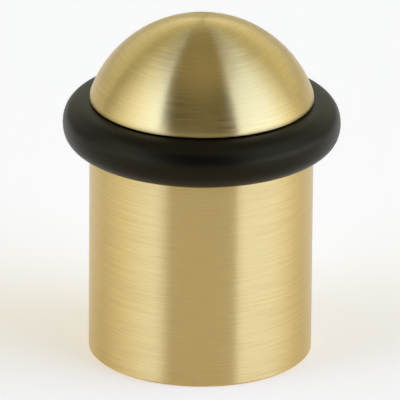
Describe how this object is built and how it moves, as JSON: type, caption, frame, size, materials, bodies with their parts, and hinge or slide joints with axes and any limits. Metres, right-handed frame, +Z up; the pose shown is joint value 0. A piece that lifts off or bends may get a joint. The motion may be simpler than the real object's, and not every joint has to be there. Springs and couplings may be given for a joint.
{
  "type": "floor door stop",
  "caption": "Floor door stop: a plain round satin brass post with a domed head and a black rubber bumper ring in a groove below it, screwed to the floor through its underside.",
  "frame": {"origin": "centre of the underside, where the stop stands on the floor", "axes": "+Z up along the post's axis; the post is round, so X and Y are free"},
  "size_m": [0.0397, 0.0396, 0.05],
  "materials": {
    "satin_brass": "satin, brushed round the axis",
    "black_rubber": "matte"
  },
  "bodies": {
    "root": {"stop_body": "satin_brass", "bumper_ring": "black_rubber"}
  },
  "joints": []
}
